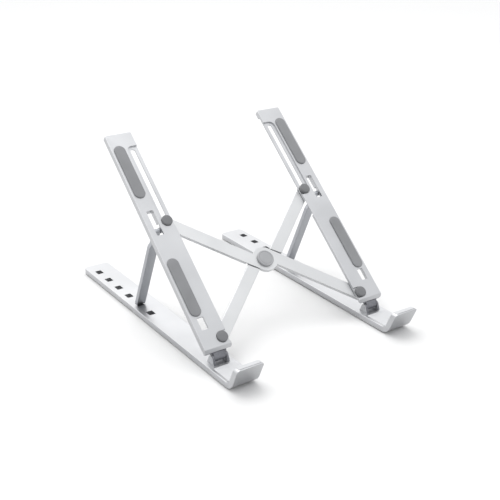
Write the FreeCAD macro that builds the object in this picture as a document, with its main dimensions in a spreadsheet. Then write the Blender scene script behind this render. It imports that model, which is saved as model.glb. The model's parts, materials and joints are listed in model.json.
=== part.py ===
"""Folding two-leg laptop stand, in millimetres, +Z up, standing on its four foot pads.

The front is -Y, where the hooks are, and X runs across the stand. Each side has a rail that lies on the
desk, an arm hinged to the front of the rail and tilted back, and a strut that hinges under the arm and drops
its foot into one of the rail's slots. Two crossbars in the plane of the arms cross at a hub. Their lower ends
pivot on the arms and their upper ends slide in the arms' slots, so that the two sides fold together.
"""

import FreeCAD
import Part
import math
import os

import Sketcher

SIDES = {"left": -1, "right": 1}

SIZES = {
    # whole stand
    "side_offset": 70.0,
    "leg_width": 22.0,
    "hinge_setback": -78.35,
    "arm_tilt": 40.5,
    "edge_round": 0.4,
    # rail and its hook
    "rail_thickness": 4.4,
    "rail_rear": 196.7,
    "rail_corner": 3.5,
    "hook_tip": 40.0,
    "hook_angle": 66.0,
    "hook_radius": 5.0,
    "lip_height": 14.8,
    "lip_corner": 2.5,
    "slot_wide": 5.2,
    "slot_long": 6.6,
    "slot_corner": 0.6,
    "slot_offset": 4.0,
    "slot_first": 180.6,
    "slot_pitch": 18.05,
    "slot_count": 6,
    "slot_used": 4,
    # foot pads
    "foot_proud": 1.0,
    "foot_recess": 0.4,
    "foot_wide": 14.0,
    "front_foot_long": 30.0,
    "rear_foot_long": 113.0,
    # soft liner of the hook
    "liner_wide": 17.8,
    "liner_start": 7.2,
    "liner_depth": 0.7,
    "liner_proud": 0.25,
    "liner_margin": 1.3,
    "fitting_gap": 0.05,
    # hinge
    "hinge_rise": 3.6,
    "hinge_pin_radius": 1.2,
    "bracket_wide": 13.2,
    "bracket_deep": 3.0,
    "bracket_long": 8.8,
    "ear_inside": 9.6,
    "ear_radius": 2.6,
    "cross_pin_radius": 0.9,
    "cross_pin_back": -0.3,
    "leaf_wide": 12.9,
    "barrel_radius": 2.5,
    "leaf_tail_end": 18.5,
    "leaf_thick": 2.0,
    "rivet_radius": 1.2,
    "rivet_cover": 0.8,
    # arm, measured from the hinge axis along the arm and up from it
    "arm_start": 2.9,
    "arm_end": 188.1,
    "arm_top": 5.9,
    "arm_thickness": 4.6,
    "arm_corner": 1.2,
    "end_bevel": 2.2,
    "plate_thickness": 2.4,
    "bar_relief_wide": 10.8,
    "strut_channel_wide": 8.2,
    "strut_channel_roof": 4.3,
    "window_offset": 3.5,
    "window_wide": 5.5,
    "window_corner": 0.7,
    "lower_window_from": 19.6,
    "lower_window_to": 29.3,
    "upper_window_from": 97.7,
    "upper_window_to": 118.7,
    # silicone pads on the arm
    "pad_offset": 4.7,
    "pad_radius": 4.6,
    "pad_recess": 0.6,
    "pad_thick": 1.7,
    "lower_pad_from": 30.4,
    "lower_pad_to": 77.8,
    "upper_pad_from": 130.2,
    "upper_pad_to": 177.1,
    # crossbar pins in the arm
    "pin_inset": 4.8,
    "pivot_along": 11.17,
    "slide_along": 107.87,
    "ledge_depth": 1.2,
    "ledge_radius": 4.5,
    "pin_radius": 1.85,
    "pin_head_radius": 3.0,
    "pin_head_thick": 0.8,
    "running_gap": 0.05,
    "slot_gap": 0.15,
    "fold_gap": 0.5,
    "cap_radius": 4.2,
    "cap_height": 2.7,
    "cap_wall": 1.1,
    # crossbars and hub
    "bar_top": 3.2,
    "bar_thickness": 2.8,
    "bar_wide": 9.8,
    "lap_gap": 0.3,
    "hub_radius": 10.0,
    "hub_shaft_radius": 2.5,
    "hub_head_radius": 5.0,
    "hub_cap_radius": 6.6,
    "hub_cap_height": 1.7,
    "hub_washer_thick": 0.2,
    # strut
    "strut_along": 103.17,
    "strut_drop": -2.2,
    "strut_wide": 7.6,
    "strut_thick": 3.4,
    "strut_neck_wide": 5.0,
    "strut_neck_long": 14.0,
    "strut_body_end": 77.85,
    "tab_wide": 3.6,
    "tab_thick": 2.4,
    "tab_long": 3.3,
    "foot_shift": 0.6,
    "strut_pin_radius": 1.1,
    "lug_radius": 2.3,
    "lug_thick": 1.0,
}


class Size:
    """A number together with the sheet expression that gives it."""

    def __init__(self, value, text):
        self.value = value
        self.text = text

    @staticmethod
    def of(other):
        return other if isinstance(other, Size) else Size(float(other), repr(float(other)))

    def __add__(self, other):
        other = Size.of(other)
        return Size(self.value + other.value, f"({self.text} + {other.text})")

    def __sub__(self, other):
        other = Size.of(other)
        return Size(self.value - other.value, f"({self.text} - {other.text})")

    def __mul__(self, other):
        other = Size.of(other)
        return Size(self.value * other.value, f"({self.text} * {other.text})")

    def __truediv__(self, other):
        other = Size.of(other)
        return Size(self.value / other.value, f"({self.text} / {other.text})")

    def __neg__(self):
        return Size(-self.value, f"(-1 * {self.text})")

    __radd__ = __add__
    __rmul__ = __mul__

    def __rsub__(self, other):
        return Size.of(other) - self


def turned(function, angle):
    """Sine, cosine or tangent of an angle given in degrees."""
    value = getattr(math, function)(math.radians(angle.value))
    return Size(value, f"{function}({angle.text} * 1deg)")


doc = FreeCAD.newDocument("laptop_stand")
sheet = doc.addObject("Spreadsheet::Sheet", "dims")
dims = {}
for row, (alias, number) in enumerate(SIZES.items(), start=1):
    sheet.set(f"A{row}", alias)
    sheet.set(f"B{row}", str(number))
    sheet.setAlias(f"B{row}", alias)
    dims[alias] = Size(float(number), f"dims.{alias}")
doc.recompute()


class Namespace:
    """The sheet's sizes as attributes, such as d.leg_width."""

    def __init__(self, table):
        self.__dict__.update(table)


d = Namespace(dims)
ZERO = Size(0.0, "0")

# ---------------------------------------------------------------- sketch and feature helpers


def new_body(label, placement=None):
    body = doc.addObject("PartDesign::Body", label)
    body.Label = label
    body.Placement = placement or FreeCAD.Placement()
    return body


def new_sketch(body, plane, offset=ZERO):
    """A sketch on one of the body's own origin planes, moved along the plane's normal."""
    sketch = body.newObject("Sketcher::SketchObject", f"{body.Name}_sketch")
    support = [item for item in body.Origin.OriginFeatures if item.Role == plane][0]
    sketch.AttachmentSupport = [(support, "")]
    sketch.MapMode = "FlatFace"
    sketch.AttachmentOffset = FreeCAD.Placement(FreeCAD.Vector(0, 0, offset.value), FreeCAD.Rotation())
    sketch.setExpression("AttachmentOffset.Base.z", offset.text)
    return sketch


def place_point(sketch, curve, end, x, y):
    """Tie one point of a curve to its distance from the sketch's origin."""
    for kind, size in (("DistanceX", x), ("DistanceY", y)):
        size = Size.of(size)
        index = sketch.addConstraint(Sketcher.Constraint(kind, -1, 1, curve, end, size.value))
        sketch.setExpression(f"Constraints[{index}]", size.text)


def set_radius(sketch, curve, radius):
    radius = Size.of(radius)
    index = sketch.addConstraint(Sketcher.Constraint("Radius", curve, radius.value))
    sketch.setExpression(f"Constraints[{index}]", radius.text)


def circle(sketch, x, y, radius):
    centre = FreeCAD.Vector(Size.of(x).value, Size.of(y).value, 0)
    curve = sketch.addGeometry(Part.Circle(centre, FreeCAD.Vector(0, 0, 1), radius.value), False)
    place_point(sketch, curve, 3, x, y)
    set_radius(sketch, curve, radius)


def belt(sketch, corners):
    """Closed outline like a belt pulled round circles (x, y, radius), all on its inner side."""
    circles = [tuple(Size.of(item) for item in corner) for corner in corners]
    points = [FreeCAD.Vector(x.value, y.value, 0) for x, y, _ in circles]
    count = len(points)
    area = sum(points[i].cross(points[(i + 1) % count]).z for i in range(count))
    if area < 0:
        circles.reverse()
        points.reverse()
    normals = []
    for i in range(count):
        step = points[(i + 1) % count] - points[i]
        along = FreeCAD.Vector(step).normalize()
        lean = (circles[i][2].value - circles[(i + 1) % count][2].value) / step.Length
        across = FreeCAD.Vector(along.y, -along.x, 0)
        normals.append(along * lean + across * math.sqrt(1 - lean * lean))
    arcs = []
    for i in range(count):
        radius = circles[i][2].value
        start = math.atan2(normals[i - 1].y, normals[i - 1].x)
        stop = math.atan2(normals[i].y, normals[i].x)
        if stop <= start:
            stop += 2 * math.pi
        whole = Part.Circle(points[i], FreeCAD.Vector(0, 0, 1), radius)
        arcs.append(sketch.addGeometry(Part.ArcOfCircle(whole, start, stop), False))
    for i in range(count):
        j = (i + 1) % count
        leave = points[i] + normals[i] * circles[i][2].value
        arrive = points[j] + normals[i] * circles[j][2].value
        line = sketch.addGeometry(Part.LineSegment(leave, arrive), False)
        sketch.addConstraint(Sketcher.Constraint("Tangent", arcs[i], 2, line, 1))
        sketch.addConstraint(Sketcher.Constraint("Tangent", line, 2, arcs[j], 1))
    for arc, (x, y, radius) in zip(arcs, circles):
        place_point(sketch, arc, 3, x, y)
        set_radius(sketch, arc, radius)


def rounded_box(sketch, x_from, x_to, y_from, y_to, corner):
    """Rectangle with rounded corners; the x limits may come in either order."""
    low, high = sorted((Size.of(x_from), Size.of(x_to)), key=lambda size: size.value)
    left, right = low + corner, high - corner
    near, far = y_from + corner, y_to - corner
    belt(sketch, [(left, near, corner), (right, near, corner), (right, far, corner), (left, far, corner)])


def obround(sketch, x, y_from, y_to, radius):
    belt(sketch, [(x, y_from + radius, radius), (x, y_to - radius, radius)])


def pad(body, sketch, length, midplane=False, reversed_way=False):
    feature = body.newObject("PartDesign::Pad", f"{body.Name}_pad")
    feature.Profile = sketch
    feature.Length = Size.of(length).value
    feature.setExpression("Length", Size.of(length).text)
    feature.Midplane = midplane
    feature.Reversed = reversed_way
    return feature


def pocket(body, sketch, length=None, midplane=False, upwards=False):
    """Cut below the sketch plane, or above it when upwards; through everything with no length."""
    feature = body.newObject("PartDesign::Pocket", f"{body.Name}_pocket")
    feature.Profile = sketch
    if length is None:
        feature.Type = 1
    else:
        feature.Length = Size.of(length).value
        feature.setExpression("Length", Size.of(length).text)
    feature.Midplane = midplane
    feature.Reversed = upwards
    return feature


def soften(body, base, radius, keep=lambda edge: True, kind="Fillet"):
    """Round or chamfer the edges of a feature that the test keeps."""
    doc.recompute()
    names = [f"Edge{i}" for i, edge in enumerate(base.Shape.Edges, start=1) if keep(edge)]
    feature = body.newObject(f"PartDesign::{kind}", f"{body.Name}_{kind.lower()}")
    feature.Base = (base, names)
    prop = "Radius" if kind == "Fillet" else "Size"
    setattr(feature, prop, radius.value)
    feature.setExpression(prop, radius.text)
    return feature


def turned_piece(label, rings, placement, round_top=None):
    """Round piece on the Z axis from stacked rings (outer radius, inner radius, bottom, top)."""
    body = new_body(label, placement)
    for outer, inner, bottom, top in rings:
        sketch = new_sketch(body, "XY_Plane", Size.of(bottom))
        circle(sketch, ZERO, ZERO, outer)
        if inner is not None:
            circle(sketch, ZERO, ZERO, inner)
        last = pad(body, sketch, top - bottom)
    if round_top is not None:
        doc.recompute()
        height = last.Shape.BoundBox.ZMax
        soften(body, last, round_top, lambda edge: edge.BoundBox.ZMin > height - 0.01)
    return body


def cross_pin(label, radius, x_from, x_to, placement):
    """Plain pin along X."""
    pin = doc.addObject("Part::Cylinder", label)
    pin.Label = label
    length = x_to - x_from
    pin.setExpression("Radius", radius.text)
    pin.setExpression("Height", length.text)
    along_x = FreeCAD.Placement(FreeCAD.Vector(x_from.value, 0, 0), FreeCAD.Rotation(0, 90, 0))
    pin.Placement = placement.multiply(along_x)
    return pin


# ---------------------------------------------------------------- frames of the moving pieces

RAIL_TOP = d.foot_proud + d.rail_thickness
HINGE_HEIGHT = RAIL_TOP + d.hinge_rise
RISE = FreeCAD.Rotation(FreeCAD.Vector(1, 0, 0), d.arm_tilt.value)


def base_frame(side):
    """On the rail's centre line, at the height of the rail's top, with Y measured from the hinge axis."""
    return FreeCAD.Placement(
        FreeCAD.Vector(side * d.side_offset.value, d.hinge_setback.value, RAIL_TOP.value), FreeCAD.Rotation()
    )


def arm_frame(side=0):
    """On the hinge axis: Y runs up the arm and Z stands out of its top face. Side 0 is mid-stand."""
    return FreeCAD.Placement(
        FreeCAD.Vector(side * d.side_offset.value, d.hinge_setback.value, HINGE_HEIGHT.value), RISE
    )


PIN_ACROSS = d.side_offset - d.leg_width / 2 + d.pin_inset
HUB_ALONG = (d.pivot_along + d.slide_along) / 2
HALF_BAR = math.hypot(PIN_ACROSS.value, (d.slide_along.value - d.pivot_along.value) / 2)
BAR_ANGLE = math.degrees(math.atan2((d.slide_along.value - d.pivot_along.value) / 2, PIN_ACROSS.value))
FOLDED_HALF_GAP = d.pin_inset.value + d.fold_gap.value / 2
SLIDE_TRAVEL = 2 * math.sqrt(HALF_BAR**2 - FOLDED_HALF_GAP**2) - (d.slide_along.value - d.pivot_along.value)
SLIDE_END = d.slide_along + SLIDE_TRAVEL
FOLDED_HUB = d.pivot_along + math.sqrt(HALF_BAR**2 - FOLDED_HALF_GAP**2)
STRIP_LEAN = math.degrees(math.asin(FOLDED_HALF_GAP / HALF_BAR))

# ---------------------------------------------------------------- base: rail, pads and hinge bracket


def bend_start():
    """Where the hook starts to bend up: the tip's place plus the run of the lip, the ramp and the bend."""
    lean = d.hook_angle
    ramp_rise = d.lip_height - d.hook_radius * (1 - turned("cos", lean))
    return inner_lip() + ramp_rise / turned("tan", lean) + d.hook_radius * turned("sin", lean)


def inner_lip():
    """Where the hook's inner face meets the level cut of the lip."""
    return d.rail_thickness / turned("sin", d.hook_angle) - d.hook_tip


def ramp_at(shift, height):
    """The Y of a line parallel to the ramp's inner face, shifted out of the metal, at a height."""
    return inner_lip() + shift / turned("sin", d.hook_angle) + (d.lip_height - height) / turned("tan", d.hook_angle)


def hook_profile(sketch, start, below, above, lip):
    """Closed side view of a band that follows the hook's inner face from start, behind the bend, to the lip.

    It reaches below and above that face, and lip gives its (y, z) corners there, lower ramp first.
    """
    bend = bend_start()
    lean = math.radians(d.hook_angle.value)
    stop = 1.5 * math.pi
    middle = FreeCAD.Vector(bend.value, d.hook_radius.value, 0)
    floors = []
    ramps = []
    for shift, (lip_y, lip_z) in ((-below, lip[0]), (above, lip[-1])):
        radius = (d.hook_radius - shift).value
        begin = FreeCAD.Vector(start.value, shift.value, 0)
        under = FreeCAD.Vector(bend.value, shift.value, 0)
        leave = middle - FreeCAD.Vector(math.sin(lean), math.cos(lean), 0) * radius
        top = FreeCAD.Vector(lip_y.value, lip_z.value, 0)
        whole = Part.Circle(middle, FreeCAD.Vector(0, 0, 1), radius)
        floor = sketch.addGeometry(Part.LineSegment(begin, under), False)
        arc = sketch.addGeometry(Part.ArcOfCircle(whole, stop - lean, stop), False)
        ramp = sketch.addGeometry(Part.LineSegment(leave, top), False)
        sketch.addConstraint(Sketcher.Constraint("Tangent", floor, 2, arc, 2))
        sketch.addConstraint(Sketcher.Constraint("Tangent", arc, 1, ramp, 1))
        sketch.addConstraint(Sketcher.Constraint("Horizontal", floor))
        place_point(sketch, floor, 1, start, shift)
        place_point(sketch, arc, 3, bend, d.hook_radius)
        place_point(sketch, ramp, 2, lip_y, lip_z)
        floors.append(floor)
        ramps.append(ramp)
    back = sketch.addGeometry(Part.LineSegment(FreeCAD.Vector(start.value, -below.value, 0),
                                               FreeCAD.Vector(start.value, above.value, 0)), False)
    sketch.addConstraint(Sketcher.Constraint("Coincident", floors[0], 1, back, 1))
    sketch.addConstraint(Sketcher.Constraint("Coincident", floors[1], 1, back, 2))
    before = ramps[0]
    for (y_from, z_from), (y_to, z_to) in zip(lip, lip[1:]):
        ends = FreeCAD.Vector(y_from.value, z_from.value, 0), FreeCAD.Vector(y_to.value, z_to.value, 0)
        line = sketch.addGeometry(Part.LineSegment(*ends), False)
        sketch.addConstraint(Sketcher.Constraint("Coincident", before, 2, line, 1))
        if (y_to, z_to) != lip[-1]:
            place_point(sketch, line, 2, y_to, z_to)
        before = line
    sketch.addConstraint(Sketcher.Constraint("Coincident", before, 2, ramps[1], 2))


def liner_profile(sketch, gap, above):
    """Side view of the hook's liner, or of its recess with a gap and a larger reach above the metal."""
    below = d.liner_depth + gap
    front = d.liner_margin - gap - d.hook_tip
    low = d.lip_height - below
    high = d.lip_height + above
    lip = [(ramp_at(-below, low), low), (front, low), (front, high), (ramp_at(above, high), high)]
    hook_profile(sketch, gap - d.liner_start, below, above, lip)


def make_rail(name, side):
    """Flat bar with a row of slots, bent up at the front into a hook whose lip is cut off level."""
    body = new_body(f"{name}_rail", base_frame(side))
    outward = side
    half = d.leg_width / 2
    thick = d.rail_thickness
    bend = bend_start()
    behind = bend + 8.0

    side_view = new_sketch(body, "YZ_Plane")
    lip = [(-d.hook_tip, d.lip_height), (inner_lip(), d.lip_height)]
    hook_profile(side_view, behind, thick, ZERO, lip)
    hook = pad(body, side_view, d.leg_width, midplane=True)
    lip_level = d.lip_height.value - 0.01
    soften(body, hook, d.lip_corner, lambda edge: edge.BoundBox.ZMin > lip_level
                     and edge.BoundBox.XLength < 0.01)

    plan = new_sketch(body, "XY_Plane")
    corner = d.rail_corner
    belt(plan, [
        (-half + 0.1, bend + 0.1, 0.1),
        (half - 0.1, bend + 0.1, 0.1),
        (half - corner, d.rail_rear - corner, corner),
        (corner - half, d.rail_rear - corner, corner),
    ])
    bar = pad(body, plan, thick, reversed_way=True)
    flat_below = -thick.value + 0.01

    def outline_edge(edge):
        box = edge.BoundBox
        level = box.ZLength < 0.01
        top = abs(box.ZMax) < 0.01
        under = box.ZMax < flat_below
        return level and (top or under) and box.YMax > behind.value and box.YMin > bend.value - 0.01

    soften(body, bar, d.edge_round, outline_edge)

    slot_x = outward * (d.slot_offset + d.slot_wide / 2)
    first = new_sketch(body, "XY_Plane")
    rounded_box(first, slot_x, slot_x - outward * d.slot_wide, d.slot_first - d.slot_long / 2,
                d.slot_first + d.slot_long / 2, d.slot_corner)
    slots = pocket(body, first)
    doc.recompute()
    pattern = body.newObject("PartDesign::LinearPattern", f"{body.Name}_slots")
    pattern.Originals = [slots]
    pattern.Direction = (body.Origin.OriginFeatures[1], [""])
    pattern.Reversed = True
    pattern.Length = (d.slot_pitch * (d.slot_count - 1)).value
    pattern.setExpression("Length", (d.slot_pitch * (d.slot_count - 1)).text)
    pattern.Occurrences = int(d.slot_count.value)
    body.Tip = pattern

    seat = new_sketch(body, "XY_Plane")
    wide = d.bracket_wide / 2
    rounded_box(seat, -wide, wide, -d.bracket_long / 2, d.bracket_long / 2, Size.of(0.1))
    pocket(body, seat, d.bracket_deep)

    recess = new_sketch(body, "YZ_Plane")
    liner_profile(recess, d.fitting_gap, Size.of(2.0))
    pocket(body, recess, d.liner_wide + 2 * d.fitting_gap, midplane=True)

    hole = new_sketch(body, "YZ_Plane")
    circle(hole, d.cross_pin_back, -d.bracket_deep / 2, d.cross_pin_radius)
    pocket(body, hole, d.leg_width + 2, midplane=True)

    for start, long in foot_spans():
        foot_seat = new_sketch(body, "XY_Plane", -thick)
        rounded_box(foot_seat, -d.foot_wide / 2, d.foot_wide / 2, start, start + long, Size.of(3.0))
        pocket(body, foot_seat, d.foot_recess, upwards=True)
    return body


def foot_spans():
    """Start and length of the front and rear foot pads, from the hinge axis."""
    front = -d.front_foot_long / 2 - 2.0
    rear = d.rail_rear - d.rear_foot_long - 2.6
    return [(front, d.front_foot_long), (rear, d.rear_foot_long)]


def make_foot(label, side, start, long):
    body = new_body(label, base_frame(side))
    sketch = new_sketch(body, "XY_Plane", -d.rail_thickness - d.foot_proud)
    gap = 0.05
    rounded_box(sketch, -d.foot_wide / 2 + gap, d.foot_wide / 2 - gap, start + gap, start + long - gap, Size.of(2.95))
    pad(body, sketch, d.foot_proud + d.foot_recess)
    return body


def make_liner(label, side):
    """Soft liner let into the hook's inner face, from the floor up the ramp and over the lip."""
    body = new_body(label, base_frame(side))
    sketch = new_sketch(body, "YZ_Plane")
    liner_profile(sketch, ZERO, d.liner_proud)
    pad(body, sketch, d.liner_wide, midplane=True)
    return body


def make_bracket(label, side):
    """Hinge bracket: a block let into the rail with two rounded ears for the hinge pin."""
    body = new_body(label, base_frame(side))
    half_long = d.bracket_long / 2 - 0.05
    profile = new_sketch(body, "YZ_Plane")
    foot = Size.of(0.4)
    belt(profile, [
        (foot - half_long, foot - d.bracket_deep, foot),
        (half_long - foot, foot - d.bracket_deep, foot),
        (half_long - foot, -foot, foot),
        (ZERO, d.hinge_rise, d.ear_radius),
        (foot - half_long, -foot, foot),
    ])
    pad(body, profile, d.bracket_wide - 0.1, midplane=True)
    gap = new_sketch(body, "YZ_Plane")
    reach = Size.of(20.0)
    rounded_box(gap, -reach, reach, Size.of(-0.3), reach, Size.of(0.1))
    pocket(body, gap, d.ear_inside, midplane=True)
    holes = new_sketch(body, "YZ_Plane")
    circle(holes, ZERO, d.hinge_rise, d.hinge_pin_radius)
    circle(holes, d.cross_pin_back, -d.bracket_deep / 2, d.cross_pin_radius)
    pocket(body, holes, d.leg_width, midplane=True)
    return body


def make_base(name, side):
    make_rail(name, side)
    for place, (start, long) in zip(("front", "rear"), foot_spans()):
        make_foot(f"{name}_{place}_foot", side, start, long)
    make_liner(f"{name}_hook_liner", side)
    make_bracket(f"{name}_hinge_bracket", side)
    half = d.bracket_wide / 2 + 0.15
    cross_pin(f"{name}_hinge_pin", d.hinge_pin_radius, -half, half, arm_frame(side))
    half = d.leg_width / 2 - 0.1
    at = FreeCAD.Placement(FreeCAD.Vector(0, d.cross_pin_back.value, -d.bracket_deep.value / 2), FreeCAD.Rotation())
    cross_pin(f"{name}_bracket_pin", d.cross_pin_radius, -half, half, base_frame(side).multiply(at))


# ---------------------------------------------------------------- arm and what it carries


def make_arm(name, side):
    """Flat arm: pads, strut channel and windows on its outer half, crossbar ledge on its inner half."""
    body = new_body(f"{name}_arm", arm_frame(side))
    inward = -side
    half = d.leg_width / 2
    under = d.arm_top - d.arm_thickness
    plate_under = d.arm_top - d.plate_thickness
    pin_x = inward * (half - d.pin_inset)
    lug_x = -inward * d.window_offset

    outline = new_sketch(body, "XY_Plane", under)
    rounded_box(outline, -half, half, d.arm_start, d.arm_end, d.arm_corner)
    slab = pad(body, outline, d.arm_thickness)
    soften(body, slab, d.edge_round, lambda edge: edge.BoundBox.ZLength < 0.01)

    bevel = new_sketch(body, "YZ_Plane")
    tiny = 0.05
    past = 2.0
    belt(bevel, [
        (d.arm_start - past, d.arm_top - d.end_bevel - past + tiny, tiny),
        (d.arm_start + d.end_bevel + past, d.arm_top + past + tiny, tiny),
        (d.arm_start - past, d.arm_top + past + tiny, tiny),
    ])
    pocket(body, bevel, d.leg_width + 2, midplane=True)

    lugs = new_sketch(body, "YZ_Plane")
    belt(lugs, [
        (d.strut_along - d.lug_radius + 0.2, d.strut_channel_roof + 0.2, 0.2),
        (d.strut_along, -d.strut_drop, d.lug_radius),
        (d.strut_along + d.lug_radius - 0.2, d.strut_channel_roof + 0.2, 0.2),
    ])
    lug_span = d.strut_neck_wide + 0.6 + 2 * d.lug_thick

    relief = new_sketch(body, "XY_Plane", under)
    rounded_box(relief, inward * (half - d.bar_relief_wide), inward * (half + 3), d.arm_start - 3, d.arm_end - 6,
                Size.of(0.5))
    pocket(body, relief, plate_under - under, upwards=True)

    channel = new_sketch(body, "XY_Plane", under)
    channel_half = d.strut_channel_wide / 2
    rounded_box(channel, lug_x - channel_half, lug_x + channel_half, d.lower_window_from - 0.8, d.strut_along + 5,
                Size.of(0.5))
    pocket(body, channel, d.strut_channel_roof - under, upwards=True)

    hub_room = new_sketch(body, "XY_Plane", under)
    circle(hub_room, inward * half, FOLDED_HUB, d.hub_cap_radius + 0.5)
    pocket(body, hub_room, d.bar_top + d.hub_cap_height + 0.3 - under, upwards=True)

    lugs.AttachmentOffset = FreeCAD.Placement(FreeCAD.Vector(0, 0, lug_x.value), FreeCAD.Rotation())
    lugs.setExpression("AttachmentOffset.Base.z", lug_x.text)
    pad(body, lugs, lug_span, midplane=True)
    knuckle = new_sketch(body, "YZ_Plane", lug_x)
    reach = d.lug_radius + 0.6
    rounded_box(knuckle, d.strut_along - reach, d.strut_along + reach, -d.strut_drop - reach, d.strut_channel_roof,
                Size.of(0.1))
    pocket(body, knuckle, d.strut_neck_wide + 0.6, midplane=True)

    windows = new_sketch(body, "XY_Plane", d.arm_top)
    window_half = d.window_wide / 2
    for start, end in ((d.lower_window_from, d.lower_window_to), (d.upper_window_from, d.upper_window_to)):
        rounded_box(windows, lug_x - window_half, lug_x + window_half, start, end, d.window_corner)
    pocket(body, windows, d.arm_thickness + 1)

    pads = new_sketch(body, "XY_Plane", d.arm_top)
    pad_x = -inward * d.pad_offset
    for start, end in ((d.lower_pad_from, d.lower_pad_to), (d.upper_pad_from, d.upper_pad_to)):
        obround(pads, pad_x, start, end, d.pad_radius)
    pocket(body, pads, d.pad_recess)

    ledges = new_sketch(body, "XY_Plane", d.arm_top)
    ledge_half = d.ledge_radius
    for start, end in ((d.slide_along, SLIDE_END), (d.pivot_along, d.pivot_along)):
        rounded_box(ledges, pin_x - inward * ledge_half, inward * (half + 6), start - ledge_half, end + ledge_half,
                    ledge_half - 0.1)
    pocket(body, ledges, d.ledge_depth)

    slot_radius = d.pin_radius + d.slot_gap
    holes = new_sketch(body, "XY_Plane", d.arm_top)
    obround(holes, pin_x, d.slide_along - slot_radius, SLIDE_END + slot_radius, slot_radius)
    circle(holes, pin_x, d.pivot_along, d.pin_radius)
    pocket(body, holes, d.arm_thickness)

    tail = new_sketch(body, "XY_Plane", under)
    leaf_half = d.leaf_wide / 2
    rounded_box(tail, -inward * leaf_half, inward * 0.7, d.arm_start - 3, d.leaf_tail_end + 0.15, Size.of(0.5))
    pocket(body, tail, plate_under - under, upwards=True)

    rivets = new_sketch(body, "XY_Plane", plate_under)
    for along in leaf_rivet_places():
        circle(rivets, -inward * d.window_offset, along, d.rivet_radius)
    pocket(body, rivets, d.plate_thickness - d.rivet_cover, upwards=True)

    strut_hole = new_sketch(body, "YZ_Plane", lug_x)
    circle(strut_hole, d.strut_along, -d.strut_drop, d.strut_pin_radius)
    pocket(body, strut_hole, lug_span + 0.2, midplane=True)
    return body


def leaf_rivet_places():
    return [d.arm_start + 5.9, d.arm_start + 12.5]


def make_leaf(label, side):
    """Hinge leaf: a barrel between the ears, an apron over them and a tail riveted under the arm's outer half."""
    body = new_body(label, arm_frame(side))
    inward = -side
    half = d.leaf_wide / 2 - 0.1
    tail_top = d.arm_top - d.plate_thickness
    barrel = new_sketch(body, "YZ_Plane")
    belt(barrel, [(ZERO, ZERO, d.barrel_radius), (tail_top - 1.3, tail_top - 1.3, Size.of(1.2))])
    pad(body, barrel, d.ear_inside - 0.4, midplane=True)
    apron = new_sketch(body, "YZ_Plane")
    belt(apron, [(2.6, tail_top - 1.1, 0.6), (4.8, tail_top - 1.0, 0.75)])
    pad(body, apron, d.leaf_wide - 0.2, midplane=True)
    tail = new_sketch(body, "XY_Plane", tail_top - d.leaf_thick)
    rounded_box(tail, -inward * half, -inward * 0.1, d.arm_start + 0.5, d.leaf_tail_end, Size.of(0.4))
    pad(body, tail, d.leaf_thick)
    bore = new_sketch(body, "YZ_Plane")
    circle(bore, ZERO, ZERO, d.hinge_pin_radius + d.running_gap)
    pocket(body, bore, d.leg_width, midplane=True)
    rivets = new_sketch(body, "XY_Plane", tail_top)
    for along in leaf_rivet_places():
        circle(rivets, -inward * d.window_offset, along, d.rivet_radius)
    pocket(body, rivets, d.leaf_thick + 1)
    return body


def make_leaf_rivets(label, side):
    """Two flush rivets up through the leaf's tail into blind holes of the arm, as solids of one group."""
    bottom = d.arm_top - d.plate_thickness - d.leaf_thick
    rivets = []
    for number, along in enumerate(leaf_rivet_places(), start=1):
        rivet = doc.addObject("Part::Cylinder", f"{label}_{number}")
        rivet.setExpression("Radius", d.rivet_radius.text)
        rivet.setExpression("Height", (d.arm_top - d.rivet_cover - bottom).text)
        spot = FreeCAD.Vector(side * d.window_offset.value, along.value, bottom.value)
        rivet.Placement = arm_frame(side).multiply(FreeCAD.Placement(spot, FreeCAD.Rotation()))
        rivets.append(rivet)
    group = doc.addObject("Part::Compound", label)
    group.Label = label
    group.Links = rivets
    return group


def make_arm_pad(label, side, start, end):
    """Long soft pad with round ends, set into the arm and standing proud of it."""
    body = new_body(label, arm_frame(side))
    sketch = new_sketch(body, "XY_Plane", d.arm_top - d.pad_recess)
    obround(sketch, side * d.pad_offset, start + 0.05, end - 0.05, d.pad_radius - 0.05)
    strip = pad(body, sketch, d.pad_thick)
    height = (d.arm_top - d.pad_recess + d.pad_thick).value
    soften(body, strip, d.edge_round, lambda edge: edge.BoundBox.ZMin > height - 0.01)
    return body


def pin_place(side, along):
    """Frame of a crossbar pin: over the pin's axis, at the height of the hinge axis."""
    spot = FreeCAD.Vector(side * PIN_ACROSS.value, along.value, 0)
    return arm_frame().multiply(FreeCAD.Placement(spot, FreeCAD.Rotation()))


def make_bar_pin(label, side, along):
    """Headed pin through the arm's ledge and the crossbar, with a washer head below the bar."""
    ledge = d.arm_top - d.ledge_depth
    bar_under = d.bar_top - d.bar_thickness
    low_head = bar_under - 0.1
    rings = [
        (d.pin_radius, None, low_head, ledge + 0.05),
        (d.pin_head_radius, None, ledge + 0.05, ledge + 0.05 + d.pin_head_thick),
        (d.pin_head_radius, None, low_head - d.pin_head_thick, low_head),
    ]
    return turned_piece(label, rings, pin_place(side, along))


def make_cap(label, side, along):
    """Soft cap over the pin's head, with a rounded rim."""
    ledge = d.arm_top - d.ledge_depth + 0.1
    roof = ledge + d.pin_head_thick
    rings = [
        (d.cap_radius, d.pin_head_radius + 0.02, ledge, roof),
        (d.cap_radius, None, roof, ledge + d.cap_height),
    ]
    return turned_piece(label, rings, pin_place(side, along), round_top=Size.of(0.5))


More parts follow.
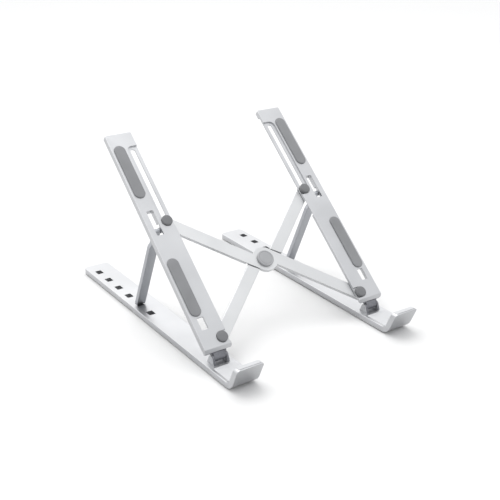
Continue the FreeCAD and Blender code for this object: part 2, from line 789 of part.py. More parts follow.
def make_upper(name, side):
    make_arm(name, side)
    make_leaf(f"{name}_hinge_leaf", side)
    make_leaf_rivets(f"{name}_leaf_rivets", side)
    make_arm_pad(f"{name}_lower_pad", side, d.lower_pad_from, d.lower_pad_to)
    make_arm_pad(f"{name}_upper_pad", side, d.upper_pad_from, d.upper_pad_to)
    for use, along in (("pivot", d.pivot_along), ("slide", d.slide_along)):
        make_bar_pin(f"{name}_{use}_pin", side, along)
        make_cap(f"{name}_{use}_cap", side, along)
    middle = side * d.window_offset
    half = d.strut_neck_wide / 2 + 0.3 + d.lug_thick
    at = FreeCAD.Placement(FreeCAD.Vector(0, d.strut_along.value, -d.strut_drop.value), FreeCAD.Rotation())
    cross_pin(f"{name}_strut_pin", d.strut_pin_radius, middle - half, middle + half, arm_frame(side).multiply(at))


# ---------------------------------------------------------------- strut


def strut_frame(side):
    """On the strut's hinge axis, with Y running down the strut to its foot in the slot."""
    top = arm_frame(side).multVec(FreeCAD.Vector(0, d.strut_along.value, -d.strut_drop.value))
    slot = d.hinge_setback + d.slot_first - d.slot_used * d.slot_pitch + d.foot_shift
    lean = math.degrees(math.atan2(RAIL_TOP.value - top.z, slot.value - top.y))
    return FreeCAD.Placement(top, FreeCAD.Rotation(FreeCAD.Vector(1, 0, 0), lean))


def make_strut(name, side):
    """Flat strut with a narrow knuckle at the top and a tab at the foot that drops into a slot."""
    body = new_body(f"{name}_strut", strut_frame(side))
    middle = side * d.window_offset
    foot_middle = side * d.slot_offset
    half = d.strut_wide / 2
    neck = d.strut_neck_wide / 2
    thick = d.strut_thick
    knuckle = new_sketch(body, "YZ_Plane", middle)
    belt(knuckle, [(ZERO, ZERO, thick / 2), (d.strut_neck_long, ZERO, thick / 2)])
    pad(body, knuckle, d.strut_neck_wide, midplane=True)
    blade = new_sketch(body, "XY_Plane", -thick / 2)
    belt(blade, [
        (middle - neck + 0.5, d.strut_neck_long - 2, 0.5),
        (middle + neck - 0.5, d.strut_neck_long - 2, 0.5),
        (middle + half - 0.5, d.strut_neck_long + 1, 0.5),
        (middle + half - 0.5, d.strut_body_end - 0.5, 0.5),
        (middle - half + 0.5, d.strut_body_end - 0.5, 0.5),
        (middle - half + 0.5, d.strut_neck_long + 1, 0.5),
    ])
    plate = pad(body, blade, thick)
    far_edges = d.strut_neck_long.value + 5
    soften(body, plate, Size.of(0.3), lambda edge: edge.BoundBox.YMax > far_edges and edge.BoundBox.ZLength < 0.01
           and edge.BoundBox.YLength > 5)
    tab = new_sketch(body, "XY_Plane", -d.tab_thick / 2)
    tab_half = d.tab_wide / 2
    rounded_box(tab, foot_middle - tab_half, foot_middle + tab_half, d.strut_body_end - 2,
                d.strut_body_end + d.tab_long, Size.of(0.5))
    pad(body, tab, d.tab_thick)
    bore = new_sketch(body, "YZ_Plane", middle)
    circle(bore, ZERO, ZERO, d.strut_pin_radius + d.running_gap)
    pocket(body, bore, d.strut_neck_wide + 1, midplane=True)
    return body


# ---------------------------------------------------------------- crossbars and hub


def bar_frame(slope):
    """On the hub's axis, with X along the line between the bar's pins: slope +1 rises to the right."""
    spot = FreeCAD.Vector(0, HUB_ALONG.value, 0)
    turn = FreeCAD.Rotation(FreeCAD.Vector(0, 0, 1), slope * BAR_ANGLE)
    return arm_frame().multiply(FreeCAD.Placement(spot, turn))


def make_crossbar(label, slope, shaft_radius):
    """Bar of two parallel strips that leave the hub on opposite sides, so that the folded bars lie side by side.

    The bar that falls to the right laps over the other one at the hub; each is half as thick there.
    """
    body = new_body(label, bar_frame(slope))
    over = slope < 0
    under = d.bar_top - d.bar_thickness
    round_end = d.bar_wide / 2
    lean = math.radians(STRIP_LEAN)
    small = 0.5
    for end in (-1, 1):
        strip = new_sketch(body, "XY_Plane", under)
        away = -slope * end

        def along_strip(run, offset):
            """A point by its run from the hub and its distance from the folding line, in the bar's own axes."""
            x = end * (run * math.cos(lean) + offset * math.sin(lean))
            y = away * (offset * math.cos(lean) - run * math.sin(lean))
            return Size.of(x), Size.of(y)

        near = small + 0.15
        far = d.bar_wide.value + 0.15 - small
        pin_x = Size.of(end * HALF_BAR)
        belt(strip, [
            (pin_x, ZERO, round_end),
            (*along_strip(0.0, near), small),
            (*along_strip(0.0, far), small),
        ])
        pad(body, strip, d.bar_thickness)
    disc = new_sketch(body, "XY_Plane", under)
    circle(disc, ZERO, ZERO, d.hub_radius)
    pad(body, disc, d.bar_thickness)

    half_thick = (d.bar_thickness + d.lap_gap) / 2
    lap = new_sketch(body, "XY_Plane", under if over else d.bar_top)
    band = d.hub_radius + 0.45
    turn = math.radians(2 * BAR_ANGLE)
    reach = 40.0
    corners = []
    for across, along in ((-1, -1), (1, -1), (1, 1), (-1, 1)):
        x = along * reach * math.cos(turn) - across * band.value * math.sin(turn)
        y = along * reach * math.sin(turn) + across * band.value * math.cos(turn)
        corners.append((Size.of(x), Size.of(-slope * y), Size.of(0.1)))
    belt(lap, corners)
    pocket(body, lap, half_thick, upwards=over)

    holes = new_sketch(body, "XY_Plane", d.bar_top)
    circle(holes, ZERO, ZERO, shaft_radius)
    for end in (-1, 1):
        lower_end = end == -slope
        gap = d.running_gap if lower_end else ZERO
        circle(holes, Size.of(end * HALF_BAR), ZERO, d.pin_radius + gap)
    pocket(body, holes, d.bar_thickness + 1)
    return body


def make_hub():
    """Rivet pressed into the upper bar, its plain round cap, and a thin washer between the bars."""
    under = d.bar_top - d.bar_thickness
    low_head = under - 0.1
    rings = [
        (d.hub_shaft_radius, None, low_head, d.bar_top),
        (d.hub_head_radius, None, d.bar_top, d.bar_top + 0.7),
        (d.hub_head_radius, None, low_head - 0.8, low_head),
    ]
    turned_piece("hub_rivet", rings, bar_frame(-1))
    rings = [
        (d.hub_cap_radius, d.hub_head_radius + 0.02, d.bar_top, d.bar_top + 0.7),
        (d.hub_cap_radius, None, d.bar_top + 0.7, d.bar_top + d.hub_cap_height),
    ]
    turned_piece("hub_cap", rings, bar_frame(-1), round_top=Size.of(0.4))
    lap_under = under + (d.bar_thickness - d.lap_gap) / 2
    rings = [(d.hub_head_radius, d.hub_shaft_radius + 0.1, lap_under, lap_under + d.hub_washer_thick)]
    turned_piece("hub_washer", rings, bar_frame(1))


# ---------------------------------------------------------------- the stand

for name, side in SIDES.items():
    make_base(name, side)
    make_upper(name, side)
    make_strut(name, side)
make_crossbar("over_crossbar", -1, d.hub_shaft_radius)
make_crossbar("under_crossbar", 1, d.hub_shaft_radius + d.running_gap)
make_hub()
doc.recompute()

for item in doc.Objects:
    if "Invalid" in item.State or "Error" in item.State:
        raise RuntimeError(f"{item.Name} failed: {item.State}")

PIECE_TYPES = ("PartDesign::Body", "Part::Cylinder", "Part::Compound")
grouped = [link for item in doc.Objects if item.TypeId == "Part::Compound" for link in item.Links]
pieces = [item for item in doc.Objects if item.TypeId in PIECE_TYPES and item not in grouped]
os.makedirs("parts", exist_ok=True)
for piece in pieces:
    shape = piece.Shape
    if shape.isNull() or not shape.isValid():
        raise RuntimeError(f"{piece.Label} has no valid shape")
    shape.exportStep(os.path.join("parts", f"{piece.Label}.step"))
    print(f"{piece.Label}: {len(shape.Solids)} solid, {shape.Volume / 1000:.2f} cm3")
print(f"{len(pieces)} pieces, fold angle {90 - STRIP_LEAN - BAR_ANGLE:.2f} deg, slide {SLIDE_TRAVEL:.2f} mm")
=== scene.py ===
"""Looks of the folding laptop stand: a bead-blasted aluminium frame with gray silicone pads, caps and liners.

Arm coordinates are used for whatever lies on a tilted arm: across (X), along (up the arm from the hinge axis)
and out (away from the arm's top face). Lengths in the code are millimetres until a mesh is written.
"""

import json
import math

import bmesh
import bpy
import numpy as np
from mathutils import Matrix, Vector


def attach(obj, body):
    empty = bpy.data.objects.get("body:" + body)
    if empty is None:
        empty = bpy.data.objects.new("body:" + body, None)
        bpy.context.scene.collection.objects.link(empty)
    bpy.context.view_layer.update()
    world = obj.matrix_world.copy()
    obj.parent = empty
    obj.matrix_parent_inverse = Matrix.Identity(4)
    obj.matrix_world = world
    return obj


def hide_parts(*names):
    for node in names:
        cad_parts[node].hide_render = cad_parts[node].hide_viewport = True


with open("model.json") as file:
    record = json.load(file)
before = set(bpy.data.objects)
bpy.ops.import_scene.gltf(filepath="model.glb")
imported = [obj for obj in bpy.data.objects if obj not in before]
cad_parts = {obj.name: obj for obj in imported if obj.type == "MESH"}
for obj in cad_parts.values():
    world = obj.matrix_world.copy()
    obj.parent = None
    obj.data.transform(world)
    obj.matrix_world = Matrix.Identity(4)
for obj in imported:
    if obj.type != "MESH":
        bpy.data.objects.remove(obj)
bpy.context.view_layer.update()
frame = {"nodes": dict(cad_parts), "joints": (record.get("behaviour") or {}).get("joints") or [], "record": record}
NODES = frame["nodes"]
JOINTS = {joint["name"]: joint for joint in frame["joints"]}
SLOT_OF = {row["node"]: row["material_slot"] for row in frame["record"]["subparts"]}
BODY_OF = {node: body for body, nodes in frame["record"]["behaviour"]["bodies"].items() for node in nodes}
SIDES = {"left": -1, "right": 1}
MM = 0.001

HINGE_LINE = np.array(JOINTS["left_arm_tilt"]["pos_m"]) / MM * np.array([0, 1, 1])
OUT = np.array(JOINTS["width_fold"]["axis"])
ALONG = np.array([0.0, OUT[2], -OUT[1]])
ACROSS = np.array([1.0, 0.0, 0.0])

# Heights: the rail's top over the desk, the arm's and the crossbars' tops out from the hinge axis.
RAIL_TOP = 5.4
ARM_TOP = 5.9
BAR_TOP = 3.2
# Across: the arm's middle from the stand's middle, and from it the pads outwards and the pins inwards.
SIDE_OFFSET = 70.0
PAD_OFFSET = 4.7
PIN_OFFSET = 6.2
# Along the arm from the hinge axis, or back from it along the rail.
PAD_SPANS = {"lower_pad": (30.4, 77.8), "upper_pad": (130.2, 177.1)}
PIN_PLACES = {"pivot": 11.17, "slide": 107.87}
FOOT_SPANS = {"front": (-17.0, 30.0), "rear": (81.1, 113.0)}
# The hook: bar thickness, reach to the tip, lip height over the rail's top, bend, and where its liner starts.
RAIL_THICK = 4.4
HOOK_TIP = 40.0
LIP_HEIGHT = 14.8
HOOK_ANGLE = 66.0
HOOK_RADIUS = 5.0
LINER_START = 7.2
LINER_END = 38.65
# Soft pieces are smaller than their recesses by this much all round.
FIT = 0.05

# ------------------------------------------------------------------ surfaces


def rounded_outline(wide, long, corner, per_corner=10):
    """Closed outline in the plane: four quarter circles, joined by straight sides.

    Point = corner centre + corner radius * (cos a, sin a), with a running once round the circle.
    """
    corner = min(corner, wide / 2, long / 2)
    quarter = np.linspace(0, math.pi / 2, per_corner)
    angle = (quarter[None, :] + (np.arange(4) * math.pi / 2)[:, None]).ravel()
    sign_x = np.repeat([1, -1, -1, 1], per_corner)
    sign_y = np.repeat([1, 1, -1, -1], per_corner)
    x = sign_x * (wide / 2 - corner) + corner * np.cos(angle)
    y = sign_y * (long / 2 - corner) + corner * np.sin(angle)
    return np.stack([x, y], axis=1)


def stacked_outlines(wide, long, corner, profile, per_corner=10):
    """Rings for a slab: at each (inset, height) of the profile, the outline drawn in by the inset.

    Drawing in takes the inset off the corner radius and twice the inset off both lengths.
    """
    rings = []
    for inset, height in profile:
        ring = rounded_outline(wide - 2 * inset, long - 2 * inset, max(corner - inset, 0.02), per_corner)
        rings.append(np.column_stack([ring, np.full(len(ring), height)]))
    return np.array(rings)


def edge_profile(bottom, top, radius, crown=0.0, inward=0.0, steps=5):
    """Side of a slab: a small turn at the bottom, a quarter circle at the top edge, and a crowned top.

    Quarter circle: inset = r (1 - cos a), height = top - r (1 - sin a). Crown: height rises as
    crown * (1 - (1 - k)^2) while the inset goes on to inward.
    """
    turn = np.linspace(0, math.pi / 2, steps)
    foot = 0.3 * radius
    points = [(foot, bottom), (0.3 * foot, bottom + 0.3 * foot), (0.0, bottom + foot)]
    points += list(zip(radius * (1 - np.cos(turn)), top - radius * (1 - np.sin(turn))))
    if inward > radius:
        share = np.linspace(0, 1, 6)[1:]
        points += list(zip(radius + share * (inward - radius), top + crown * (1 - (1 - share) ** 2)))
    return points


def skin(name, rings, to_world):
    """Closed mesh over rings of equal length: quads between them and a fan to the middle of each end ring."""
    rows, columns = rings.shape[:2]
    ends = np.stack([rings[0].mean(axis=0), rings[-1].mean(axis=0)])
    points = to_world(np.concatenate([rings.reshape(-1, 3), ends])) * MM
    row = np.arange(rows - 1)[:, None] * columns
    here = np.arange(columns)[None, :]
    after = (here + 1) % columns
    quads = np.stack([row + here, row + after, row + columns + after, row + columns + here], axis=-1)
    first = np.stack([np.full(columns, rows * columns), after[0], here[0]], axis=1)
    last = np.stack([np.full(columns, rows * columns + 1), here[0], after[0]], axis=1)
    last[:, 1:] += (rows - 1) * columns
    faces = quads.reshape(-1, 4).tolist() + first.tolist() + last.tolist()
    mesh = bpy.data.meshes.new(name)
    mesh.from_pydata(points.tolist(), [], faces)
    work = bmesh.new()
    work.from_mesh(mesh)
    bmesh.ops.recalc_face_normals(work, faces=work.faces)
    work.to_mesh(mesh)
    work.free()
    piece = bpy.data.objects.new(name, mesh)
    bpy.context.scene.collection.objects.link(piece)
    return piece


def on_arm(across, along=0.0, out=0.0):
    """Places points (across, along, out) on the tilted arms, from a spot given the same way."""
    spot = HINGE_LINE + across * ACROSS + along * ALONG + out * OUT

    def to_world(points):
        return spot + points @ np.stack([ACROSS, ALONG, OUT])

    return to_world


def on_rail(side):
    """Places points (across, back from the hinge line, up from the rail's top)."""
    spot = np.array([side * SIDE_OFFSET, HINGE_LINE[1], RAIL_TOP])
    return lambda points: spot + points


# ------------------------------------------------------------------ finishing


def smooth(piece, angle):
    """Smooth shading, with edges over the angle in degrees left sharp."""
    for polygon in piece.data.polygons:
        polygon.use_smooth = True
    with bpy.context.temp_override(object=piece, active_object=piece, selected_objects=[piece],
                                   selected_editable_objects=[piece]):
        bpy.ops.object.shade_smooth_by_angle(angle=math.radians(angle))


def keep(piece, node):
    """Gives a new piece the body, slot and finish of the CAD node that it stands for, and hides that node."""
    piece.data.materials.clear()
    piece.data.materials.append(FINISH[SLOT_OF[node]])
    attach(piece, BODY_OF[node])
    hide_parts(node)
    return piece


def finish_metal(node, width):
    """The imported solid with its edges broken, as tumbling and blasting leave them.

    The loose triangles are merged, flat areas become single faces and sharp edges get a small round.
    """
    mesh = NODES[node].data.copy()
    mesh.name = node + "_finished"
    work = bmesh.new()
    work.from_mesh(mesh)
    bmesh.ops.remove_doubles(work, verts=work.verts, dist=0.002 * MM)
    bmesh.ops.dissolve_limit(work, angle_limit=math.radians(0.6), verts=work.verts, edges=work.edges)
    bmesh.ops.recalc_face_normals(work, faces=work.faces)
    work.to_mesh(mesh)
    work.free()
    piece = bpy.data.objects.new(mesh.name, mesh)
    bpy.context.scene.collection.objects.link(piece)
    rounding = piece.modifiers.new("broken_edges", "BEVEL")
    rounding.width = width * MM
    rounding.segments = 3
    rounding.limit_method = "ANGLE"
    rounding.angle_limit = math.radians(38)
    rounding.use_clamp_overlap = True
    rounding.harden_normals = False
    smooth(piece, 30.0)
    return keep(piece, node)


def finish_soft(node, rings, place):
    """A moulded piece skinned over its rings, smooth all over."""
    piece = skin(node + "_soft", rings, place)
    smooth(piece, 40.0)
    return keep(piece, node)


# ------------------------------------------------------------------ materials


def colour(code):
    """sRGB hex to linear: c / 12.92 below 0.04045, else ((c + 0.055) / 1.055) ^ 2.4."""
    channels = np.array([int(code[i:i + 2], 16) for i in (1, 3, 5)]) / 255
    linear = np.where(channels <= 0.04045, channels / 12.92, ((channels + 0.055) / 1.055) ** 2.4)
    return (*linear.tolist(), 1.0)


def add(tree, kind, settings=None, **links):
    """Adds a node: settings go to its properties or sockets, links join its sockets to other outputs."""
    node = tree.nodes.new(kind)
    for key, value in (settings or {}).items():
        if isinstance(key, int) or key in node.inputs:
            node.inputs[key].default_value = value
        else:
            setattr(node, key, value)
    for key, output in links.items():
        tree.links.new(output, node.inputs[key.replace("_", " ")])
    return node


def tone_ramp(tree, value, low, high, dark, light):
    """A slow change from the dark to the light colour as the value goes from low to high."""
    tone = add(tree, "ShaderNodeValToRGB", Fac=value)
    for stop, place, code in zip(tone.color_ramp.elements, (low, high), (dark, light)):
        stop.position = place
        stop.color = colour(code)
    return tone.outputs["Color"]


def gloss_range(tree, value, low, high):
    """Roughness that follows the middle of a noise, from low to high."""
    limits = {"From Min": 0.3, "From Max": 0.7, "To Min": low, "To Max": high}
    return add(tree, "ShaderNodeMapRange", limits, Value=value).outputs["Result"]


def shader(name, **sockets):
    """A new material: itself, its node tree, its Principled node and its Object coordinates."""
    material = bpy.data.materials.new(name)
    material.use_nodes = True
    tree = material.node_tree
    principled = tree.nodes["Principled BSDF"]
    for key, value in sockets.items():
        principled.inputs[key.replace("_", " ")].default_value = value
    place = add(tree, "ShaderNodeTexCoord").outputs["Object"]
    return material, tree, principled, place


def blasted_aluminium(name, light, dark, roughness=0.36):
    """Anodised aluminium blasted with fine glass beads: a dead-even satin metal with a tight sparkle.

    Real bead pits are about 0.1 mm; they are drawn at 0.35 mm so that a few show. A slow change of tone
    over 30 mm stands for the uneven sealing of the anodic layer.
    """
    material, tree, principled, place = shader(name, Metallic=1.0)
    grit = add(tree, "ShaderNodeTexNoise", {"Scale": 2800.0, "Detail": 2.0, "Roughness": 0.6}, Vector=place)
    cloud = add(tree, "ShaderNodeTexNoise", {"Scale": 34.0, "Detail": 2.0}, Vector=place)
    tone = tone_ramp(tree, cloud.outputs["Fac"], 0.3, 0.7, dark, light)
    gloss = gloss_range(tree, grit.outputs["Fac"], roughness - 0.04, roughness + 0.05)
    pits = add(tree, "ShaderNodeBump", {"Strength": 0.10, "Distance": 0.00006}, Height=grit.outputs["Fac"])
    tree.links.new(tone, principled.inputs["Base Color"])
    tree.links.new(gloss, principled.inputs["Roughness"])
    tree.links.new(pits.outputs["Normal"], principled.inputs["Normal"])
    return material


def moulded_silicone(name, light, dark, roughness=0.62):
    """Moulded silicone rubber: matte gray with a fine mould grain and a faint sheen.

    The mould's spark-eroded grain is about 0.2 mm and is drawn at 0.4 mm.
    """
    material, tree, principled, place = shader(name, IOR=1.41, Specular_IOR_Level=0.42, Sheen_Weight=0.18,
                                               Sheen_Roughness=0.6)
    grain = add(tree, "ShaderNodeTexNoise", {"Scale": 2400.0, "Detail": 3.0}, Vector=place)
    patch = add(tree, "ShaderNodeTexNoise", {"Scale": 60.0, "Detail": 3.0}, Vector=place)
    blend = add(tree, "ShaderNodeMath", {"operation": "MULTIPLY_ADD", 1: 0.35}, Value=grain.outputs["Fac"])
    tree.links.new(patch.outputs["Fac"], blend.inputs[2])
    tone = tone_ramp(tree, blend.outputs["Value"], 0.45, 0.95, dark, light)
    gloss = gloss_range(tree, grain.outputs["Fac"], roughness - 0.06, roughness + 0.06)
    bump = add(tree, "ShaderNodeBump", {"Strength": 0.22, "Distance": 0.00008}, Height=grain.outputs["Fac"])
    tree.links.new(tone, principled.inputs["Base Color"])
    tree.links.new(gloss, principled.inputs["Roughness"])
    tree.links.new(bump.outputs["Normal"], principled.inputs["Normal"])
    return material


def hinge_leaf_gray_and_painted_shade(name, light, dark):
    """Pressed steel with a satin gray electro-coat: half-metallic and slightly mottled. The hinge brackets also
    use this gray, as painted shade.
    """
    material, tree, principled, place = shader(name, Metallic=0.55, Coat_Weight=0.15, Coat_Roughness=0.35)
    mottle = add(tree, "ShaderNodeTexNoise", {"Scale": 420.0, "Detail": 4.0}, Vector=place)
    tone = tone_ramp(tree, mottle.outputs["Fac"], 0.35, 0.65, dark, light)
    gloss = gloss_range(tree, mottle.outputs["Fac"], 0.38, 0.52)
    bump = add(tree, "ShaderNodeBump", {"Strength": 0.12, "Distance": 0.00008}, Height=mottle.outputs["Fac"])
    tree.links.new(tone, principled.inputs["Base Color"])
    tree.links.new(gloss, principled.inputs["Roughness"])
    tree.links.new(bump.outputs["Normal"], principled.inputs["Normal"])
    return material


def turned_steel(name, light, dark):
    """Turned, nickel-plated steel pins: bright, with tool marks 0.15 mm apart drawn as a stretched noise."""
    material, tree, principled, place = shader(name, Metallic=1.0)
    stretch = add(tree, "ShaderNodeMapping", {"Scale": (6000.0, 700.0, 700.0)}, Vector=place)
    marks = add(tree, "ShaderNodeTexNoise", {"Scale": 1.0, "Detail": 2.0}, Vector=stretch.outputs["Vector"])
    tone = tone_ramp(tree, marks.outputs["Fac"], 0.3, 0.7, dark, light)
    bump = add(tree, "ShaderNodeBump", {"Strength": 0.15, "Distance": 0.00004}, Height=marks.outputs["Fac"])
    tree.links.new(tone, principled.inputs["Base Color"])
    tree.links.new(bump.outputs["Normal"], principled.inputs["Normal"])
    principled.inputs["Roughness"].default_value = 0.3
    return material


def moulded_nylon(name, light, dark):
    """Natural nylon: off-white, waxy and a little cloudy, from a polished mould."""
    material, tree, principled, place = shader(name, IOR=1.53, Subsurface_Weight=0.1, Subsurface_Scale=0.001,
                                               Roughness=0.42)
    cloud = add(tree, "ShaderNodeTexNoise", {"Scale": 300.0, "Detail": 3.0}, Vector=place)
    tone = tone_ramp(tree, cloud.outputs["Fac"], 0.0, 1.0, dark, light)
    tree.links.new(tone, principled.inputs["Base Color"])
    return material


FINISH = {
    "frame_metal": blasted_aluminium("anodised_aluminium_frame", "#BCBDBF", "#B4B5B7"),
    "bar_metal": blasted_aluminium("anodised_aluminium_crossbar", "#C8C9CA", "#C0C1C2", 0.42),
    "strut_metal": blasted_aluminium("anodised_aluminium_strut", "#ACAEB2", "#A3A5A9", 0.4),
    # dark_leaf: the hinge leaf's own gray coat, also used as painted shade on the hinge brackets
    "dark_leaf": hinge_leaf_gray_and_painted_shade("hinge_leaf_coat_and_bracket_painted_shade", "#77787D", "#65666B"),
    "silicone_pad": moulded_silicone("silicone_rubber_pad", "#78797B", "#6D6E70"),
    "liner_silicone": moulded_silicone("silicone_rubber_liner", "#B4B5B7", "#A9AAAC", 0.55),
    "cap_silicone": moulded_silicone("silicone_rubber_cap", "#67686A", "#5C5D5F"),
    "hub_silicone": moulded_silicone("silicone_rubber_hub_cap", "#929395", "#88898B", 0.5),
    "steel_pin": turned_steel("turned_nickel_plated_steel", "#C9CACD", "#ABADB1"),
    "washer_nylon": moulded_nylon("natural_nylon_washer", "#E6E4DC", "#DAD8CF"),
}

# ------------------------------------------------------------------ metal pieces


def hinge_bracket(side):
    """Aluminium bracket: its side faces keep its own finish. Its front, back, top and inside take the hinge leaf's
    dark gray as painted shade for the shadow under the arm's end.
    """
    bracket = finish_metal(f"{side}_hinge_bracket", 0.2)
    bracket.data.materials.append(FINISH["dark_leaf"])
    # Faces that do not point sideways are painted dark gray: painted shade, not a coat.
    for polygon in bracket.data.polygons:
        faces_sideways = abs(polygon.normal.x) > 0.7
        polygon.material_index = 0 if faces_sideways else 1


for side in SIDES:
    finish_metal(f"{side}_rail", 0.4)
    finish_metal(f"{side}_arm", 0.35)
    finish_metal(f"{side}_strut", 0.35)
    hinge_bracket(side)
    finish_metal(f"{side}_hinge_leaf", 0.35)
for bar in ("over_crossbar", "under_crossbar"):
    finish_metal(bar, 0.35)

# ------------------------------------------------------------------ soft pieces


def arm_pad(side, name):
    """Long soft pad: stadium outline, rounded rim and a faint crown across its width."""
    start, end = PAD_SPANS[name]
    radius = 4.6 - FIT
    profile = edge_profile(ARM_TOP - 0.6, ARM_TOP + 1.0, 0.6, crown=0.1, inward=3.9)
    rings = stacked_outlines(2 * radius, end - start - 2 * FIT, radius, profile, 14)
    place = on_arm(SIDES[side] * (SIDE_OFFSET + PAD_OFFSET), (start + end) / 2)
    finish_soft(f"{side}_{name}", rings, place)


def round_rings(radius, profile):
    """Circular rings drawn in by the profile's insets."""
    return stacked_outlines(2 * radius, 2 * radius, radius, profile, 16)


def pin_cap(side, use):
    """Cap pressed over a pin's head: straight wall, quarter-round rim and a slightly domed top."""
    base = ARM_TOP - 1.1
    profile = edge_profile(base, base + 2.55, 0.7, crown=0.15, inward=3.9)
    place = on_arm(SIDES[side] * (SIDE_OFFSET - PIN_OFFSET), PIN_PLACES[use])
    finish_soft(f"{side}_{use}_cap", round_rings(4.2, profile), place)


def hub_cap():
    """Plain round cap: rounded rim, and a shallow ring groove inside it.

    Groove: height = top - depth * sin(pi t) over its width, t running from 0 to 1.
    """
    top = BAR_TOP + 1.7
    groove_inset, groove_wide, groove_deep = 1.1, 0.8, 0.25
    share = np.linspace(0, 1, 7)
    profile = edge_profile(BAR_TOP, top, 0.5)
    profile += list(zip(groove_inset + groove_wide * share, top - groove_deep * np.sin(math.pi * share)))
    profile.append((6.0, top))
    hub = np.array(JOINTS["hub_fold"]["pos_m"]) / MM
    arm_axes = np.stack([ACROSS, ALONG, OUT])
    finish_soft("hub_cap", round_rings(6.6, profile), lambda points: hub + points @ arm_axes)


def foot_strip(side, end):
    """Foot strip stuck in the rail's recess: round-cornered slab with a soft lower edge."""
    start, long = FOOT_SPANS[end]
    upright = edge_profile(RAIL_TOP - 1.35, RAIL_TOP, 0.35, inward=3.0)
    profile = [(inset, -height) for inset, height in upright]
    rings = stacked_outlines(14.0 - 2 * FIT, long - 2 * FIT, 3.0 - FIT, profile, 12)
    place = on_rail(SIDES[side])
    middle = np.array([0, start + long / 2, 0])
    finish_soft(f"{side}_{end}_foot", rings, lambda points: place(points + middle))


def hook_path():
    """The hook's inner face seen from the side: rows of y, z, lean of the normal and stretch along it.

    Floor, bend, ramp, and over the lip's level top. Bend point = centre - radius * (sin a, cos a), for a from
    0 to the hook's angle; the ramp goes on along its tangent. At the lip's corner the normal leans half of that
    angle and is stretched by 1 / cos(half of it), as in a mitre.
    """
    lean = math.radians(HOOK_ANGLE)
    lip_y = RAIL_THICK / math.sin(lean) - HOOK_TIP
    ramp_rise = LIP_HEIGHT - HOOK_RADIUS * (1 - math.cos(lean))
    bend = lip_y + ramp_rise / math.tan(lean) + HOOK_RADIUS * math.sin(lean)
    points = [(y, 0.0, 0.0, 1.0) for y in np.linspace(-LINER_START, bend, 8)]
    for a in np.linspace(0, lean, 14)[1:]:
        points.append((bend - HOOK_RADIUS * math.sin(a), HOOK_RADIUS - HOOK_RADIUS * math.cos(a), a, 1.0))
    foot_y, foot_z = points[-1][:2]
    ramp_long = (LIP_HEIGHT - foot_z) / math.sin(lean)
    for t in np.linspace(0, ramp_long, 9)[1:-1]:
        points.append((foot_y - t * math.cos(lean), foot_z + t * math.sin(lean), lean, 1.0))
    points.append((lip_y, LIP_HEIGHT, lean / 2, 1 / math.cos(lean / 2)))
    points += [(y, LIP_HEIGHT, 0.0, 1.0) for y in np.linspace(lip_y - 0.8, -LINER_END, 5)]
    return points


def hook_liner(side):
    """Soft liner carried along the hook's inner face, its two long edges rounded.

    Edge: x = half - r (1 - cos a), height = proud - r (1 - sin a), for a quarter turn.
    """
    half, sunk, proud, round_by = 8.85, 0.65, 0.25, 0.25
    turn = np.linspace(0, math.pi / 2, 5)
    edge_x = half - round_by * (1 - np.cos(turn))
    edge_height = proud - round_by * (1 - np.sin(turn))
    across = np.concatenate([[-half], -edge_x, edge_x[::-1], [half]])
    above = np.concatenate([[-sunk], edge_height, edge_height[::-1], [-sunk]])
    rings = []
    for y, z, lean, stretch in hook_path():
        reach = above * stretch
        rings.append(np.column_stack([across, y + reach * math.sin(lean), z + reach * math.cos(lean)]))
    finish_soft(f"{side}_hook_liner", np.array(rings), on_rail(SIDES[side]))


for side in SIDES:
    for pad_name in PAD_SPANS:
        arm_pad(side, pad_name)
    for pin_use in PIN_PLACES:
        pin_cap(side, pin_use)
    for foot_end in FOOT_SPANS:
        foot_strip(side, foot_end)
    hook_liner(side)
hub_cap()

# ------------------------------------------------------------------ camera, floor and light


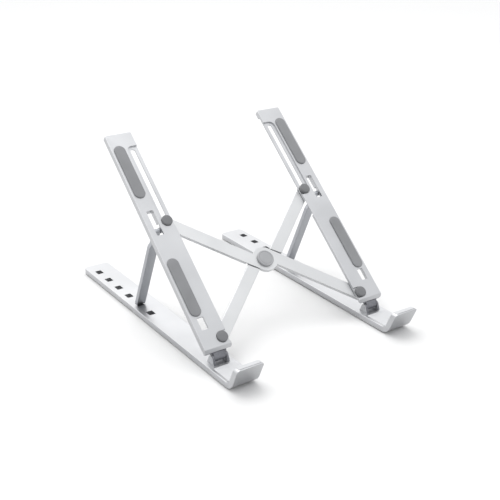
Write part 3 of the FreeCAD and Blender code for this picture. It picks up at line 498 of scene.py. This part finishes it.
def studio():
    """A white sweep under a bright overhead bank that falls off towards the front."""
    bpy.ops.mesh.primitive_plane_add(size=16.0, location=(0, 0, 0))
    floor = bpy.context.object
    floor.name = "studio_floor"
    white = bpy.data.materials.new("white_acrylic_floor")
    white.use_nodes = True
    paint = white.node_tree.nodes["Principled BSDF"]
    paint.inputs["Base Color"].default_value = (0.62, 0.62, 0.62, 1)
    paint.inputs["Roughness"].default_value = 0.8
    paint.inputs["Specular IOR Level"].default_value = 0.1
    floor.data.materials.append(white)

    world = bpy.data.worlds.new("studio_world")
    bpy.context.scene.world = world
    world.use_nodes = True
    tree = world.node_tree
    backdrop = tree.nodes["Background"]
    way = add(tree, "ShaderNodeTexCoord").outputs["Generated"]
    lean = add(tree, "ShaderNodeVectorMath", {"operation": "DOT_PRODUCT", 1: (-0.1, 0.62, 0.55)})
    tree.links.new(way, lean.inputs[0])
    ramp = add(tree, "ShaderNodeValToRGB", Fac=lean.outputs["Value"])
    ramp.color_ramp.elements[0].position = 0.05
    ramp.color_ramp.elements[0].color = (0.68, 0.685, 0.695, 1)
    ramp.color_ramp.elements[1].position = 0.55
    ramp.color_ramp.elements[1].color = (1.0, 1.0, 1.0, 1)
    tree.links.new(ramp.outputs["Color"], backdrop.inputs["Color"])
    backdrop.inputs["Strength"].default_value = 1.7


def soft_box(name, place, aim, size, power):
    """A rectangular lamp at a place, turned to face its aim."""
    lamp = bpy.data.lights.new(name, "AREA")
    lamp.shape = "RECTANGLE"
    lamp.size, lamp.size_y = size
    lamp.energy = power
    box = bpy.data.objects.new(name, lamp)
    box.location = place
    box.rotation_euler = (Vector(aim) - Vector(place)).to_track_quat("-Z", "Y").to_euler()
    bpy.context.scene.collection.objects.link(box)


def camera():
    """Front left, looking down 23 degrees, on a long lens."""
    azimuth, elevation, roll = math.radians(-34.8), math.radians(23.25), math.radians(0.35)
    back = Vector((math.sin(azimuth) * math.cos(elevation), -math.cos(azimuth) * math.cos(elevation),
                   math.sin(elevation)))
    right = (-back).cross(Vector((0, 0, 1))).normalized()
    up = right.cross(-back)
    turned_right = math.cos(roll) * right + math.sin(roll) * up
    turned_up = math.cos(roll) * up - math.sin(roll) * right
    lens = bpy.data.cameras.new("camera")
    lens.sensor_width = 36.0
    lens.lens = 63.06
    lens.clip_start = 0.01
    eye = bpy.data.objects.new("camera", lens)
    turn = Matrix((turned_right, turned_up, back)).transposed().to_4x4()
    eye.matrix_world = Matrix.Translation((-0.3547, -0.52545, 0.3171)) @ turn
    bpy.context.scene.collection.objects.link(eye)
    bpy.context.scene.camera = eye


studio()
soft_box("overhead_bank", (-0.1, 0.5, 1.3), (0, 0, 0.05), (1.3, 1.0), 9.0)
camera()
bpy.context.scene.view_settings.view_transform = "Standard"

for node, source in NODES.items():
    if not source.hide_render:
        source.data.materials.clear()
        source.data.materials.append(FINISH[SLOT_OF[node]])
